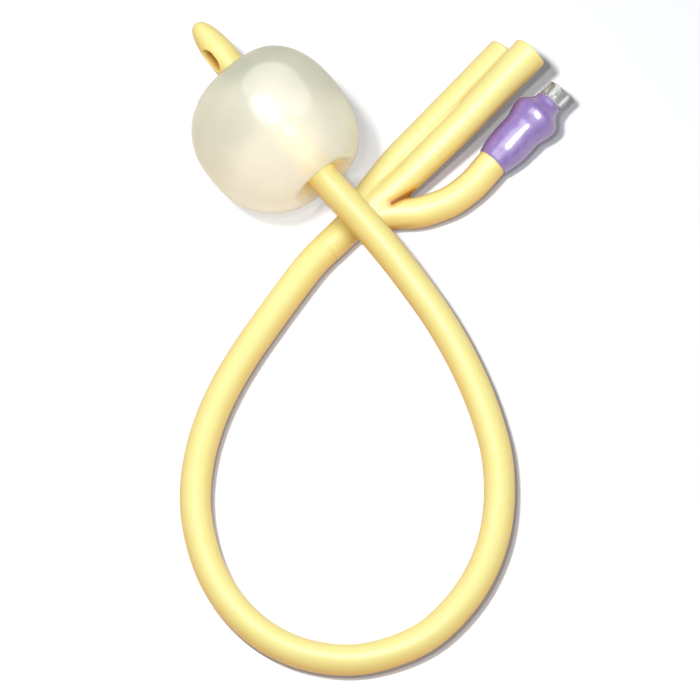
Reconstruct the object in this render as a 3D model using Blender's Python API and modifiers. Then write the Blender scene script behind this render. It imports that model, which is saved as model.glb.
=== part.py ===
"""Three-way balloon urinary catheter, lying in one loose loop with its balloon filled.

Metres, +Z up, the table at z = 0. +Y runs along the funnels towards their open ends. The
shaft leaves the funnel head, goes round the loop, crosses over the head and ends in the
balloon and the rounded drainage tip. The origin lies on the table, under the middle of the
head and the balloon.
"""

import math

import bmesh
import bpy
from mathutils import Matrix, Vector

MM = 0.001

# Fits
FIT_GAP = 0.3 * MM
CUT_OVERRUN = 1.0 * MM

# Shaft: the French size is three times the diameter in millimetres
FRENCH_SIZE = 22.0
SHAFT_RADIUS = FRENCH_SIZE / 3.0 / 2.0 * MM
SHAFT_STATION_SPACING = 4.0 * SHAFT_RADIUS
STRAIGHT_END = 4.5 * MM

# Layout: places below are measured from the middle of the lying loop and its head, and the
# finished part is then moved so that this point on the table becomes its origin
REST_ORIGIN = Vector((-39.07 * MM, 43.69 * MM, 0.0))
NECK_FACE = Vector((-20.6 * MM, 14.0 * MM, SHAFT_RADIUS))

# Lumens, as offsets across the shaft from its centre: sideways, up, then the radius
DRAINAGE_LUMEN = (0.0 * MM, 1.2 * MM, 1.5 * MM)
IRRIGATION_LUMEN = (-1.5 * MM, -1.4 * MM, 0.8 * MM)
INFLATION_LUMEN = (1.5 * MM, -1.4 * MM, 0.5 * MM)

# Route of the free shaft between the head and the balloon: x, y and lift off the table in millimetres
SHAFT_ROUTE = [
    (-19.7, 1.9, 0.0), (-18.2, -8.0, 0.0), (-16.5, -17.9, 0.0), (-14.1, -27.7, 0.0),
    (-10.6, -37.3, 0.0), (-5.7, -46.4, 0.0), (0.6, -54.5, 0.0), (8.5, -61.2, 0.0),
    (17.4, -66.2, 0.0), (27.1, -68.9, 0.0), (36.8, -69.0, 0.0), (46.0, -66.3, 0.0),
    (54.6, -60.5, 0.0), (60.4, -52.6, 0.0), (63.8, -43.8, 0.0), (64.3, -34.0, 0.0),
    (62.6, -24.2, 0.0), (58.7, -14.8, 0.0), (52.9, -6.4, 0.0), (45.5, 1.1, 0.0),
    (38.0, 6.4, 0.13), (29.7, 11.0, 0.53), (20.7, 14.9, 1.33), (11.5, 17.9, 2.53),
    (2.2, 20.0, 4.13), (-6.8, 21.5, 6.23), (-17.2, 22.6, 9.03),
]

# Balloon end: the middle of the balloon on the shaft's own line, and how that line lies
BALLOON_MIDDLE = Vector((-45.4 * MM, 26.0 * MM, 17.4 * MM))
TIP_HEADING = math.radians(170.5)
TIP_PITCH = math.radians(4.5)
TIP_REACH = 32.6 * MM
NOSE_LENGTH = 11.0 * MM
TIP_WALL_AT_NOSE = 3.4 * MM
NOSE_STEPS = 7

# Drainage eyes: two ovals on opposite sides, the second further back
EYE_FROM_NOSE = 10.0 * MM
EYE_STAGGER = 2.6 * MM
EYE_LENGTH = 6.2 * MM
EYE_WIDTH = 3.2 * MM
EYE_SIDE = math.radians(112.0)
IRRIGATION_EYE_FROM_NOSE = 14.0 * MM
INFLATION_PORT_OFFSET = 3.0 * MM
PORT_SETBACK = 1.2

# Balloon: 30 ml, flat-shouldered, dimpled where it meets the shaft
BALLOON_RADIUS = 18.6 * MM
BALLOON_HALF_LENGTH = 18.7 * MM
BALLOON_SQUARENESS = 2.4
BALLOON_WALL = 0.4 * MM
DIMPLE_DEPTH = 4.3 * MM
DIMPLE_WIDTH = 3.5 * MM
CUFF_LENGTH = 3.2 * MM
BALLOON_OFF_CENTRE = Vector((-0.5 * MM, 2.3 * MM, 0.0))
BALLOON_FOOT_SAG = 0.4 * MM
BALLOON_STEPS = 9

# Funnel arms in millimetres: x and y of the centre line, lift of the underside off the table, radius
DRAINAGE_ARM = [
    (-20.4, 21.8, 0.0, 3.67), (-19.9, 27.9, 0.3, 3.65), (-18.8, 34.8, 1.6, 3.5),
    (-18.0, 40.6, 2.8, 3.4), (-17.4, 51.1, 4.3, 3.6), (-17.1, 58.2, 5.1, 3.7),
    (-17.1, 70.2, 5.9, 3.9), (-17.15, 82.2, 6.25, 4.25),
]
IRRIGATION_ARM = [
    (-20.5, 21.8, 0.0, 3.67), (-21.3, 26.1, 0.1, 3.6), (-22.2, 30.4, 0.14, 3.56),
    (-23.0, 36.3, 0.19, 3.56), (-23.6, 42.5, 0.2, 3.6), (-23.6, 50.5, 0.13, 3.72),
    (-23.6, 65.3, 0.1, 3.85), (-23.6, 80.2, 0.05, 4.0),
]
INFLATION_ARM = [
    (-20.3, 21.8, 0.0, 3.67), (-18.8, 26.4, 0.1, 3.6), (-16.2, 30.1, 0.2, 3.55),
    (-13.8, 32.7, 0.2, 3.55), (-11.0, 35.7, 0.15, 3.6), (-8.8, 39.5, 0.13, 3.62),
    (-7.1, 43.6, 0.13, 3.62), (-6.3, 48.9, 0.18, 3.62), (-6.3, 52.5, 0.33, 3.62),
]
ARM_STATION_SPACING = 2.0 * MM
ARM_OVERRUN = 2.5 * MM
BLEND_VOXEL = 0.45 * MM
BLEND_PASSES = 8
SKIN_SHARE_KEPT = 0.06

# Funnel bores: how far in the wide mouth runs, and its wall
FUNNEL_WALL = 0.95 * MM
FUNNEL_MOUTH_DEPTH = 12.0 * MM
FUNNEL_THROAT_DEPTH = 34.0 * MM
FUNNEL_THROAT_RADIUS = 2.1 * MM

# Valve end: its axis starts at the edge of the coloured sleeve and rises a little
VALVE_BASE = Vector((-6.5 * MM, 57.0 * MM, 4.32 * MM))
VALVE_PITCH = math.radians(5.8)

# Inflation arm's socket inside the sleeve, as distances along the valve axis
SOCKET_NECK_RADIUS = 3.05 * MM
SOCKET_RADIUS = 4.0 * MM
SOCKET_FLARE = (1.0 * MM, 4.0 * MM)
SOCKET_END = 12.6 * MM
SOCKET_WALL = 0.9 * MM
SOCKET_FLOOR = 2.6 * MM

VALVE_LEAD_IN = 1.0 * MM

# Spigot: barbed barrel with a flange and a cup for the spring
BARREL_WALL = 0.65 * MM
BARB_DEPTH = 0.4 * MM
BARB_COUNT = 3
BARB_PITCH = 1.7 * MM
FLANGE_RADIUS = 4.7 * MM
SPIGOT_FLANGE = 1.4 * MM
SPRING_CUP_DEPTH = 5.8 * MM
FLUID_HOLE_RADIUS = 0.8 * MM

# Housing: clear, with a tapered mouth for a syringe
HOUSING_FLANGE = 1.3 * MM
HOUSING_NECK_RADIUS = 2.5 * MM
HOUSING_FILLET = 0.4 * MM
HOUSING_RIM_RADIUS = 3.15 * MM
HOUSING_RIM_LENGTH = 3.25 * MM
HOUSING_RIM_STEP = 0.2 * MM
HOUSING_END = 23.9 * MM
MOUTH_RADIUS = 2.15 * MM
MOUTH_TAPER = 0.03
SEAT_THICKNESS = 0.8 * MM
SEAL_CHAMBER_DEPTH = 1.8 * MM
FLOW_GAP = 0.35 * MM

# Plunger, seal and spring
PLUNGER_STEM_RADIUS = 0.95 * MM
PLUNGER_BELOW_MOUTH = 1.9 * MM
PLUNGER_CHAMFER = 0.25 * MM
PLUNGER_DISC_THICKNESS = 0.9 * MM
PLUNGER_GUIDE_RADIUS = 0.5 * MM
PLUNGER_GUIDE_LENGTH = 2.8 * MM
SEAL_THICKNESS = 0.45 * MM
SEAL_CHAMFER = 0.1 * MM
SPRING_WIRE_RADIUS = 0.2 * MM
SPRING_TURNS = 5
SPRING_POINTS_PER_TURN = 12

# Coloured sleeve: walls over what it covers, and how far its swells and its lip run
SLEEVE_EDGE_WALL = 0.4 * MM
SLEEVE_WALL = 0.58 * MM
SLEEVE_FLANGE_WALL = 0.82 * MM
SLEEVE_LIP_WALL = 0.5 * MM
SLEEVE_SWELL = 2.2 * MM
SLEEVE_FLANGE_LEAD = 2.4 * MM
SLEEVE_SHOULDER = 1.2 * MM
SLEEVE_LIP = 0.9 * MM
SLEEVE_END = 20.1 * MM
SLEEVE_STEPS = 5

ROUND_STEPS = 28
SMALL_STEPS = 20
PORT_STEPS = 12
CHANNEL_STEPS = 10
ARM_BEVEL_RESOLUTION = 6
TUBE_BEVEL_RESOLUTION = 4
FINE_BEVEL_RESOLUTION = 1


def clear_scene():
    for obj in list(bpy.data.objects):
        bpy.data.objects.remove(obj, do_unlink=True)


def new_collection(name, helper=False):
    collection = bpy.data.collections.new(name)
    bpy.context.scene.collection.children.link(collection)
    collection.hide_render = helper
    return collection


def plastic(name, colour, roughness, metallic=0.0, alpha=1.0):
    material = bpy.data.materials.new(name)
    material.use_nodes = True
    shader = material.node_tree.nodes["Principled BSDF"]
    shader.inputs["Base Color"].default_value = (*colour, 1.0)
    shader.inputs["Roughness"].default_value = roughness
    shader.inputs["Metallic"].default_value = metallic
    shader.inputs["Alpha"].default_value = alpha
    material.diffuse_color = (*colour, alpha)
    return material


def shaft_route():
    return [(x * MM, y * MM, SHAFT_RADIUS + lift * MM) for x, y, lift in SHAFT_ROUTE]


def arm_line(rows):
    """Centre line and radius in metres of an arm that is given by its underside."""
    return [(x * MM, y * MM, (lift + radius) * MM, radius * MM) for x, y, lift, radius in rows]


def smooth_path(stations, spacing):
    """Even points on one smooth curve through the stations. A fourth value, the radius, goes along."""
    rows = [list(station) for station in stations]
    first = [2 * a - b for a, b in zip(rows[0], rows[1])]
    last = [2 * a - b for a, b in zip(rows[-1], rows[-2])]
    rows = [first] + rows + [last]
    fine = []
    steps = 24
    for p0, p1, p2, p3 in zip(rows, rows[1:], rows[2:], rows[3:]):
        for step in range(steps):
            t = step / steps
            fine.append([
                0.5 * (2 * b + (c - a) * t + (2 * a - 5 * b + 4 * c - d) * t * t
                       + (3 * b - a - 3 * c + d) * t ** 3)
                for a, b, c, d in zip(p0, p1, p2, p3)
            ])
    fine.append(rows[-2])
    lengths = [0.0]
    for before, after in zip(fine, fine[1:]):
        lengths.append(lengths[-1] + math.dist(before[:3], after[:3]))
    count = max(2, round(lengths[-1] / spacing))
    points = []
    index = 0
    for step in range(count + 1):
        target = lengths[-1] * step / count
        while index < len(lengths) - 2 and lengths[index + 1] < target:
            index += 1
        share = (target - lengths[index]) / (lengths[index + 1] - lengths[index])
        points.append([a + (b - a) * share for a, b in zip(fine[index], fine[index + 1])])
    return points


def swept_tube(name, points, collection, bevel_resolution=TUBE_BEVEL_RESOLUTION, radius=None):
    """A filled tube along the points. Each point's fourth value is its radius unless one is given."""
    curve = bpy.data.curves.new(name, "CURVE")
    curve.dimensions = "3D"
    curve.bevel_depth = radius if radius else MM
    curve.bevel_resolution = bevel_resolution
    curve.use_fill_caps = True
    spline = curve.splines.new("POLY")
    spline.points.add(len(points) - 1)
    for point, row in zip(spline.points, points):
        point.co = (*row[:3], 1.0)
        point.radius = 1.0 if radius else row[3] / MM
    obj = bpy.data.objects.new(name, curve)
    collection.objects.link(obj)
    return obj


def as_mesh(obj):
    """The object's evaluated shape as a mesh object of the same name, with its caps welded."""
    bpy.context.view_layer.update()
    graph = bpy.context.evaluated_depsgraph_get()
    mesh = bpy.data.meshes.new_from_object(obj.evaluated_get(graph))
    shape = bmesh.new()
    shape.from_mesh(mesh)
    bmesh.ops.remove_doubles(shape, verts=shape.verts, dist=0.001 * MM)
    bmesh.ops.recalc_face_normals(shape, faces=shape.faces)
    shape.to_mesh(mesh)
    shape.free()
    name, matrix, parent = obj.name, obj.matrix_world.copy(), obj.parent
    collection = obj.users_collection[0]
    bpy.data.objects.remove(obj, do_unlink=True)
    mesh.name = name
    made = bpy.data.objects.new(name, mesh)
    collection.objects.link(made)
    made.parent = parent
    made.matrix_world = matrix
    return made


def turned(name, profile, collection, parent, steps=ROUND_STEPS):
    """A closed profile of (radius, height) pairs turned about the parent's Z axis."""
    mesh = bpy.data.meshes.new(name)
    corners = [(r, 0.0, z) for r, z in profile]
    edges = [(i, (i + 1) % len(corners)) for i in range(len(corners))]
    mesh.from_pydata(corners, edges, [])
    obj = bpy.data.objects.new(name, mesh)
    collection.objects.link(obj)
    obj.parent = parent
    turn_about_z(obj, steps)
    return obj


def turn_about_z(obj, steps):
    screw = obj.modifiers.new("Turn", "SCREW")
    screw.axis = "Z"
    screw.steps = steps
    screw.render_steps = steps
    screw.use_merge_vertices = True
    screw.merge_threshold = 0.001 * MM
    screw.use_smooth_shade = True


def cylinder(name, radius, depth, collection, matrix, sides=ROUND_STEPS):
    """A cylinder that starts at the matrix's origin and runs along its Z axis."""
    mesh = bpy.data.meshes.new(name)
    shape = bmesh.new()
    bmesh.ops.create_cone(shape, cap_ends=True, segments=sides, radius1=radius, radius2=radius,
                          depth=depth, matrix=Matrix.Translation((0.0, 0.0, depth / 2.0)))
    shape.to_mesh(mesh)
    shape.free()
    obj = bpy.data.objects.new(name, mesh)
    collection.objects.link(obj)
    obj.matrix_world = matrix
    return obj


def combine(target, other, operation="DIFFERENCE"):
    modifier = target.modifiers.new(operation.title() + " " + other.name, "BOOLEAN")
    modifier.operation = operation
    modifier.solver = "EXACT"
    modifier.object = other
    other.display_type = "WIRE"
    other.hide_render = True


def finish(obj, material):
    """Give the piece its material and smooth shading, with sharp edges where it turns a corner."""
    if obj.type == "MESH" and obj.data.polygons:
        obj.data.shade_smooth()
        obj.data.set_sharp_from_angle(angle=math.radians(35.0))
    obj.data.materials.clear()
    obj.data.materials.append(material)


def facing(origin, direction):
    return Matrix.Translation(origin) @ direction.to_track_quat("Z", "Y").to_matrix().to_4x4()


def end_frame(rows):
    """Where an arm ends, and which way it points there."""
    last = Vector(rows[-1][:3])
    return last, (last - Vector(rows[-2][:3])).normalized()


def new_empty(name, location, rotation, collection):
    empty = bpy.data.objects.new(name, None)
    collection.objects.link(empty)
    empty.location = location
    empty.rotation_euler = rotation
    bpy.context.view_layer.update()
    return empty


def lumen_at_neck(lumen, y, radius=None):
    across, up, lumen_radius = lumen
    return (NECK_FACE.x + across, y, NECK_FACE.z + up, radius if radius else lumen_radius)


# Shaft


def make_shaft(parts, balloon_end, rubber):
    """The free shaft, from the head's neck face to the foot of the tip piece inside the balloon cuff."""
    tip_foot = balloon_end.matrix_world @ Vector((0.0, 0.0, -tip_foot_reach() - FIT_GAP))
    lead_in = balloon_end.matrix_world @ Vector((0.0, 0.0, -tip_foot_reach() - FIT_GAP - STRAIGHT_END))
    start = NECK_FACE - Vector((0.0, FIT_GAP, 0.0))
    lead_out = start - Vector((0.0, STRAIGHT_END, 0.0))
    route = [tuple(lead_out)] + shaft_route() + [tuple(lead_in)]
    points = [tuple(start)] + smooth_path(route, SHAFT_STATION_SPACING) + [tuple(tip_foot)]
    shaft = swept_tube("shaft_tube", points, parts, radius=SHAFT_RADIUS)
    finish(shaft, rubber)


# Balloon end


def tip_foot_reach():
    """Distance from the balloon's middle back to the tip piece's foot, halfway along the rear cuff."""
    return pole_reach() - CUFF_LENGTH / 2.0


def balloon_side(radius):
    """Half length of the balloon at this radius, with the dimple round the shaft."""
    share = min(1.0, radius / BALLOON_RADIUS)
    plain = BALLOON_HALF_LENGTH * (1.0 - share ** BALLOON_SQUARENESS) ** (1.0 / BALLOON_SQUARENESS)
    return plain - DIMPLE_DEPTH * math.exp(-((radius - cuff_radius()) / DIMPLE_WIDTH) ** 2)


def cuff_radius():
    return SHAFT_RADIUS + FIT_GAP


def pole_reach():
    return balloon_side(cuff_radius())


def balloon_profile():
    """Outer surface from the front cuff round the equator to the rear cuff."""
    start = math.asin((cuff_radius() / BALLOON_RADIUS) ** (BALLOON_SQUARENESS / 2.0))
    front = []
    for step in range(BALLOON_STEPS):
        angle = start + (math.pi / 2.0 - start) * step / BALLOON_STEPS
        radius = BALLOON_RADIUS * math.sin(angle) ** (2.0 / BALLOON_SQUARENESS)
        front.append((radius, balloon_side(radius)))
    cuff = (cuff_radius(), pole_reach() - CUFF_LENGTH)
    half = [cuff] + front
    return half + [(BALLOON_RADIUS, 0.0)] + [(radius, -height) for radius, height in reversed(half)]


def make_balloon(parts, balloon_end, film):
    mesh = bpy.data.meshes.new("retention_balloon")
    corners = [(r, 0.0, z) for r, z in balloon_profile()]
    mesh.from_pydata(corners, [(i, i + 1) for i in range(len(corners) - 1)], [])
    outline = bpy.data.objects.new("retention_balloon", mesh)
    parts.objects.link(outline)
    outline.parent = balloon_end
    turn_about_z(outline, ROUND_STEPS)
    balloon = as_mesh(outline)
    to_world = balloon.matrix_world.copy()
    to_local = to_world.inverted()
    for vertex in balloon.data.vertices:
        bulge = (vertex.co.xy.length - cuff_radius()) / (BALLOON_RADIUS - cuff_radius())
        place = to_world @ (vertex.co + BALLOON_OFF_CENTRE * max(0.0, min(1.0, bulge)))
        if place.z < BALLOON_FOOT_SAG:
            place.z = 0.0
        vertex.co = to_local @ place
    wall = balloon.modifiers.new("Wall", "SOLIDIFY")
    wall.thickness = BALLOON_WALL
    wall.offset = -1.0
    finish(balloon, film)


def make_tip(parts, cutters, balloon_end, rubber):
    """The rounded end: bored, with two staggered drainage eyes and the smaller outlets behind them."""
    foot = -tip_foot_reach()
    shoulder = TIP_REACH - NOSE_LENGTH
    profile = [(0.0, TIP_REACH)]
    for step in range(1, NOSE_STEPS + 1):
        angle = math.pi / 2.0 * step / NOSE_STEPS
        profile.append((SHAFT_RADIUS * math.sin(angle), shoulder + NOSE_LENGTH * math.cos(angle)))
    profile += [(SHAFT_RADIUS, foot), (0.0, foot)]
    tip = turned("drainage_tip", profile, parts, balloon_end)

    world = balloon_end.matrix_world
    side = Vector((math.cos(EYE_SIDE), math.sin(EYE_SIDE), 0.0))
    bore_length = TIP_REACH - TIP_WALL_AT_NOSE - foot + CUT_OVERRUN
    bore_start = world @ Matrix.Translation((0.0, 0.0, foot - CUT_OVERRUN))
    bore = cylinder("tip_bore_cutter", DRAINAGE_LUMEN[2], bore_length, cutters, bore_start, SMALL_STEPS)
    combine(tip, bore)

    for number, direction in enumerate((side, -side)):
        height = TIP_REACH - EYE_FROM_NOSE - number * EYE_STAGGER
        place = world @ facing(Vector((0.0, 0.0, height)), direction)
        name = "drainage_eye_cutter_%d" % (number + 1)
        eye = cylinder(name, 1.0, SHAFT_RADIUS + CUT_OVERRUN, cutters, place)
        along = place.inverted().to_3x3() @ (world.to_3x3() @ Vector((0.0, 0.0, 1.0)))
        stretch_eye(eye.data, along)
        combine(tip, eye)

    for name, lumen, height in (("irrigation", IRRIGATION_LUMEN, TIP_REACH - IRRIGATION_EYE_FROM_NOSE),
                                ("inflation", INFLATION_LUMEN, INFLATION_PORT_OFFSET)):
        across, up, lumen_radius = lumen
        out = Vector((across, up, 0.0)).normalized()
        start = world @ Matrix.Translation((across, up, foot - CUT_OVERRUN))
        length = height - foot + CUT_OVERRUN
        combine(tip, cylinder(name + "_channel_cutter", lumen_radius, length, cutters, start, CHANNEL_STEPS))
        port_place = world @ facing(Vector((across, up, height - PORT_SETBACK * lumen_radius)), out)
        port = cylinder(name + "_port_cutter", lumen_radius, SHAFT_RADIUS, cutters, port_place, PORT_STEPS)
        combine(tip, port)
    finish(tip, rubber)


def stretch_eye(mesh, along):
    """Turn the round cutter's unit section into the eye's oval, long side along the tip."""
    along = Vector((along.x, along.y, 0.0)).normalized()
    across = Vector((-along.y, along.x, 0.0))
    for vertex in mesh.vertices:
        flat = Vector((vertex.co.x, vertex.co.y, 0.0))
        oval = along * flat.dot(along) * EYE_LENGTH / 2.0 + across * flat.dot(across) * EYE_WIDTH / 2.0
        vertex.co = (oval.x, oval.y, vertex.co.z)


# Funnel head


def make_head(parts, cutters, valve_end, rubber):
    """One moulding: the neck and three arms blended where they part, then trimmed, socketed and bored."""
    skin = bmesh.new()
    for name, stations in (("drainage_arm", with_overrun(arm_line(DRAINAGE_ARM))),
                           ("irrigation_arm", with_overrun(arm_line(IRRIGATION_ARM))),
                           ("inflation_arm", inflation_stations(valve_end))):
        path = smooth_path(stations, ARM_STATION_SPACING)
        tube = as_mesh(swept_tube(name, path, parts, ARM_BEVEL_RESOLUTION))
        skin.from_mesh(tube.data)
        bpy.data.objects.remove(tube, do_unlink=True)
    mesh = bpy.data.meshes.new("funnel_head")
    skin.to_mesh(mesh)
    skin.free()
    head = bpy.data.objects.new("funnel_head", mesh)
    parts.objects.link(head)
    blend = head.modifiers.new("Blend arms", "REMESH")
    blend.mode = "VOXEL"
    blend.voxel_size = BLEND_VOXEL
    relax = head.modifiers.new("Relax", "SMOOTH")
    relax.factor = 0.5
    relax.iterations = BLEND_PASSES
    thin_out = head.modifiers.new("Thin out", "DECIMATE")
    thin_out.ratio = SKIN_SHARE_KEPT
    head = as_mesh(head)

    trims = trim_cutters(cutters, valve_end)
    socket = socket_form(cutters, valve_end)
    bores = bore_cutters(cutters, valve_end)
    for trim in trims:
        combine(head, trim)
    combine(head, socket, "UNION")
    for bore in bores:
        combine(head, bore)
    finish(as_mesh(head), rubber)


def neck_stations():
    return [(NECK_FACE.x, NECK_FACE.y - ARM_OVERRUN, NECK_FACE.z, SHAFT_RADIUS), (*NECK_FACE, SHAFT_RADIUS)]


def with_overrun(rows):
    end, direction = end_frame(rows)
    return neck_stations() + rows + [(*(end + direction * ARM_OVERRUN), rows[-1][3])]


def inflation_stations(valve_end):
    rows = arm_line(INFLATION_ARM)
    for reach in (-VALVE_LEAD_IN, ARM_OVERRUN):
        rows.append((*(valve_end.matrix_world @ Vector((0.0, 0.0, reach))), rows[-1][3]))
    return neck_stations() + rows


def trim_cutters(cutters, valve_end):
    """Cylinders that cut the neck and each arm square."""
    valve_axis = valve_end.matrix_world.to_3x3() @ Vector((0.0, 0.0, 1.0))
    valve_face = valve_end.matrix_world @ Vector((0.0, 0.0, -FIT_GAP))
    faces = [
        ("neck_trim", NECK_FACE, Vector((0.0, -1.0, 0.0)), SHAFT_RADIUS),
        ("drainage_trim", *end_frame(arm_line(DRAINAGE_ARM)), DRAINAGE_ARM[-1][3] * MM),
        ("irrigation_trim", *end_frame(arm_line(IRRIGATION_ARM)), IRRIGATION_ARM[-1][3] * MM),
        ("valve_trim", valve_face, valve_axis, INFLATION_ARM[-1][3] * MM),
    ]
    return [cylinder(name, radius + FIT_GAP, 2.0 * ARM_OVERRUN, cutters, facing(face, direction))
            for name, face, direction, radius in faces]


def socket_form(cutters, valve_end):
    """The arm's thinner end, which the coloured sleeve covers and the spigot is pushed into."""
    root = -2.0 * SOCKET_RADIUS
    profile = [
        (0.0, SOCKET_END), (SOCKET_RADIUS, SOCKET_END), (SOCKET_RADIUS, SOCKET_FLARE[1]),
        (SOCKET_NECK_RADIUS, SOCKET_FLARE[0]), (SOCKET_NECK_RADIUS, root), (0.0, root),
    ]
    return turned("socket_form", profile, cutters, valve_end)


def bore_cutters(cutters, valve_end):
    """Two funnel bores and the narrow inflation lane, each open at the neck face, and the valve's socket."""
    bores = []
    for name, stations, lumen in (("drainage_bore", DRAINAGE_ARM, DRAINAGE_LUMEN),
                                  ("irrigation_bore", IRRIGATION_ARM, IRRIGATION_LUMEN)):
        bores.append(as_mesh(swept_tube(name, funnel_bore_path(arm_line(stations), lumen), cutters)))

    base = valve_end.matrix_world
    lane = [lumen_at_neck(INFLATION_LUMEN, NECK_FACE.y - CUT_OVERRUN),
            lumen_at_neck(INFLATION_LUMEN, NECK_FACE.y + SHAFT_RADIUS)]
    for x, y, z, _ in arm_line(INFLATION_ARM[2:]):
        lane.append((x, y, z, INFLATION_LUMEN[2]))
    lane.append((*(base @ Vector((0.0, 0.0, SOCKET_FLOOR + CUT_OVERRUN))), INFLATION_LUMEN[2]))
    lane_path = smooth_path(lane, 2.0 * ARM_STATION_SPACING)
    bores.append(as_mesh(swept_tube("inflation_lane", lane_path, cutters, FINE_BEVEL_RESOLUTION)))

    pocket = base @ Matrix.Translation((0.0, 0.0, SOCKET_FLOOR))
    socket_radius = SOCKET_RADIUS - SOCKET_WALL
    bores.append(cylinder("socket_bore", socket_radius, SOCKET_END, cutters, pocket, SMALL_STEPS))
    return bores


def funnel_bore_path(rows, lumen):
    """Centre line and radius of a funnel's bore, from its lumen at the neck out through the mouth."""
    end, direction = end_frame(rows)
    mouth = rows[-1][3] - FUNNEL_WALL
    path = [lumen_at_neck(lumen, NECK_FACE.y - CUT_OVERRUN), lumen_at_neck(lumen, NECK_FACE.y + SHAFT_RADIUS)]
    for x, y, z, outer in rows[1:-1]:
        inward = math.dist((x, y, z), end)
        if inward <= FUNNEL_THROAT_DEPTH:
            share = (FUNNEL_THROAT_DEPTH - inward) / (FUNNEL_THROAT_DEPTH - FUNNEL_MOUTH_DEPTH)
            radius = FUNNEL_THROAT_RADIUS + (mouth - FUNNEL_THROAT_RADIUS) * min(1.0, share)
            path.append((x, y, z, radius))
        else:
            # nearer the neck the bore leans over from its lumen to the arm's own centre line
            lean = min(1.0, (y - NECK_FACE.y) / (end.y - FUNNEL_THROAT_DEPTH - NECK_FACE.y))
            lean = lean * lean * (3.0 - 2.0 * lean)
            at_neck = lumen_at_neck(lumen, y)
            offset_x, offset_z = at_neck[0] - NECK_FACE.x, at_neck[2] - NECK_FACE.z
            radius = lumen[2] + (FUNNEL_THROAT_RADIUS - lumen[2]) * lean
            path.append((x + offset_x * (1.0 - lean), y, z + offset_z * (1.0 - lean), radius))
    path.append((*end, mouth))
    path.append((*(end + direction * CUT_OVERRUN), mouth))
    return smooth_path(path, ARM_STATION_SPACING * 1.5)


# Valve


def spigot_floor():
    """Bottom of the spring cup, measured down from the spigot's top face."""
    return spigot_top() - SPRING_CUP_DEPTH


def spigot_top():
    return SOCKET_END + FIT_GAP + SPIGOT_FLANGE


def housing_foot():
    return spigot_top() + FIT_GAP


def seat_face():
    return housing_foot() + SEAL_CHAMBER_DEPTH


def disc_top():
    return seat_face() - 2.0 * FIT_GAP - SEAL_THICKNESS


def barrel_radius():
    return SOCKET_RADIUS - SOCKET_WALL - FIT_GAP


def cup_radius():
    return barrel_radius() - BARREL_WALL


def disc_radius():
    return cup_radius() - FIT_GAP


def make_spigot(parts, valve_end, plastic_white):
    outer = barrel_radius()
    nose = SOCKET_FLOOR + FIT_GAP
    top = spigot_top()
    flange_foot = SOCKET_END + FIT_GAP
    profile = [(FLANGE_RADIUS, top), (FLANGE_RADIUS, flange_foot), (outer, flange_foot)]
    for barb in range(BARB_COUNT):
        ridge = nose + BARB_PITCH * (BARB_COUNT - barb)
        profile += [(outer, ridge), (outer - BARB_DEPTH, ridge - 0.1 * BARB_PITCH)]
    profile += [(outer - BARB_DEPTH, nose), (FLUID_HOLE_RADIUS, nose), (FLUID_HOLE_RADIUS, spigot_floor()),
                (cup_radius(), spigot_floor()), (cup_radius(), top)]
    finish(turned("valve_spigot", profile, parts, valve_end, SMALL_STEPS), plastic_white)


def make_housing(parts, valve_end, clear):
    foot = housing_foot()
    seat = seat_face()
    floor = seat + SEAT_THICKNESS
    flange_top = foot + HOUSING_FLANGE
    neck_top = SLEEVE_END + FIT_GAP
    chamber = disc_radius() + FIT_GAP
    seat_hole = PLUNGER_STEM_RADIUS + FLOW_GAP
    profile = [
        (MOUTH_RADIUS, HOUSING_END), (HOUSING_RIM_RADIUS, HOUSING_END),
        (HOUSING_RIM_RADIUS, HOUSING_END - HOUSING_RIM_LENGTH),
        (HOUSING_RIM_RADIUS - HOUSING_RIM_STEP, neck_top + HOUSING_RIM_STEP),
        (HOUSING_NECK_RADIUS, neck_top), (HOUSING_NECK_RADIUS, flange_top + HOUSING_FILLET),
        (HOUSING_NECK_RADIUS + HOUSING_FILLET, flange_top), (FLANGE_RADIUS, flange_top),
        (FLANGE_RADIUS, foot), (chamber, foot), (chamber, seat), (seat_hole, seat), (seat_hole, floor),
        (MOUTH_RADIUS - MOUTH_TAPER * (HOUSING_END - floor), floor),
    ]
    finish(turned("valve_housing", profile, parts, valve_end), clear)


def make_plunger(parts, valve_end, plastic_white):
    top = HOUSING_END - PLUNGER_BELOW_MOUTH
    disc = disc_top()
    disc_foot = disc - PLUNGER_DISC_THICKNESS
    guide_foot = disc_foot - PLUNGER_GUIDE_LENGTH
    profile = [
        (0.0, top), (PLUNGER_STEM_RADIUS - PLUNGER_CHAMFER, top),
        (PLUNGER_STEM_RADIUS, top - PLUNGER_CHAMFER), (PLUNGER_STEM_RADIUS, disc),
        (disc_radius(), disc), (disc_radius(), disc_foot),
        (PLUNGER_GUIDE_RADIUS, disc_foot), (PLUNGER_GUIDE_RADIUS, guide_foot), (0.0, guide_foot),
    ]
    finish(turned("valve_plunger", profile, parts, valve_end, SMALL_STEPS), plastic_white)


def make_seal(parts, valve_end, seal_rubber):
    foot = disc_top() + FIT_GAP
    top = foot + SEAL_THICKNESS
    hole = PLUNGER_STEM_RADIUS + FIT_GAP
    edge = disc_radius()
    profile = [
        (hole, top), (edge - SEAL_CHAMFER, top), (edge, top - SEAL_CHAMFER), (edge, foot + SEAL_CHAMFER),
        (edge - SEAL_CHAMFER, foot), (hole, foot),
    ]
    finish(turned("valve_seal", profile, parts, valve_end, SMALL_STEPS), seal_rubber)


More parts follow.
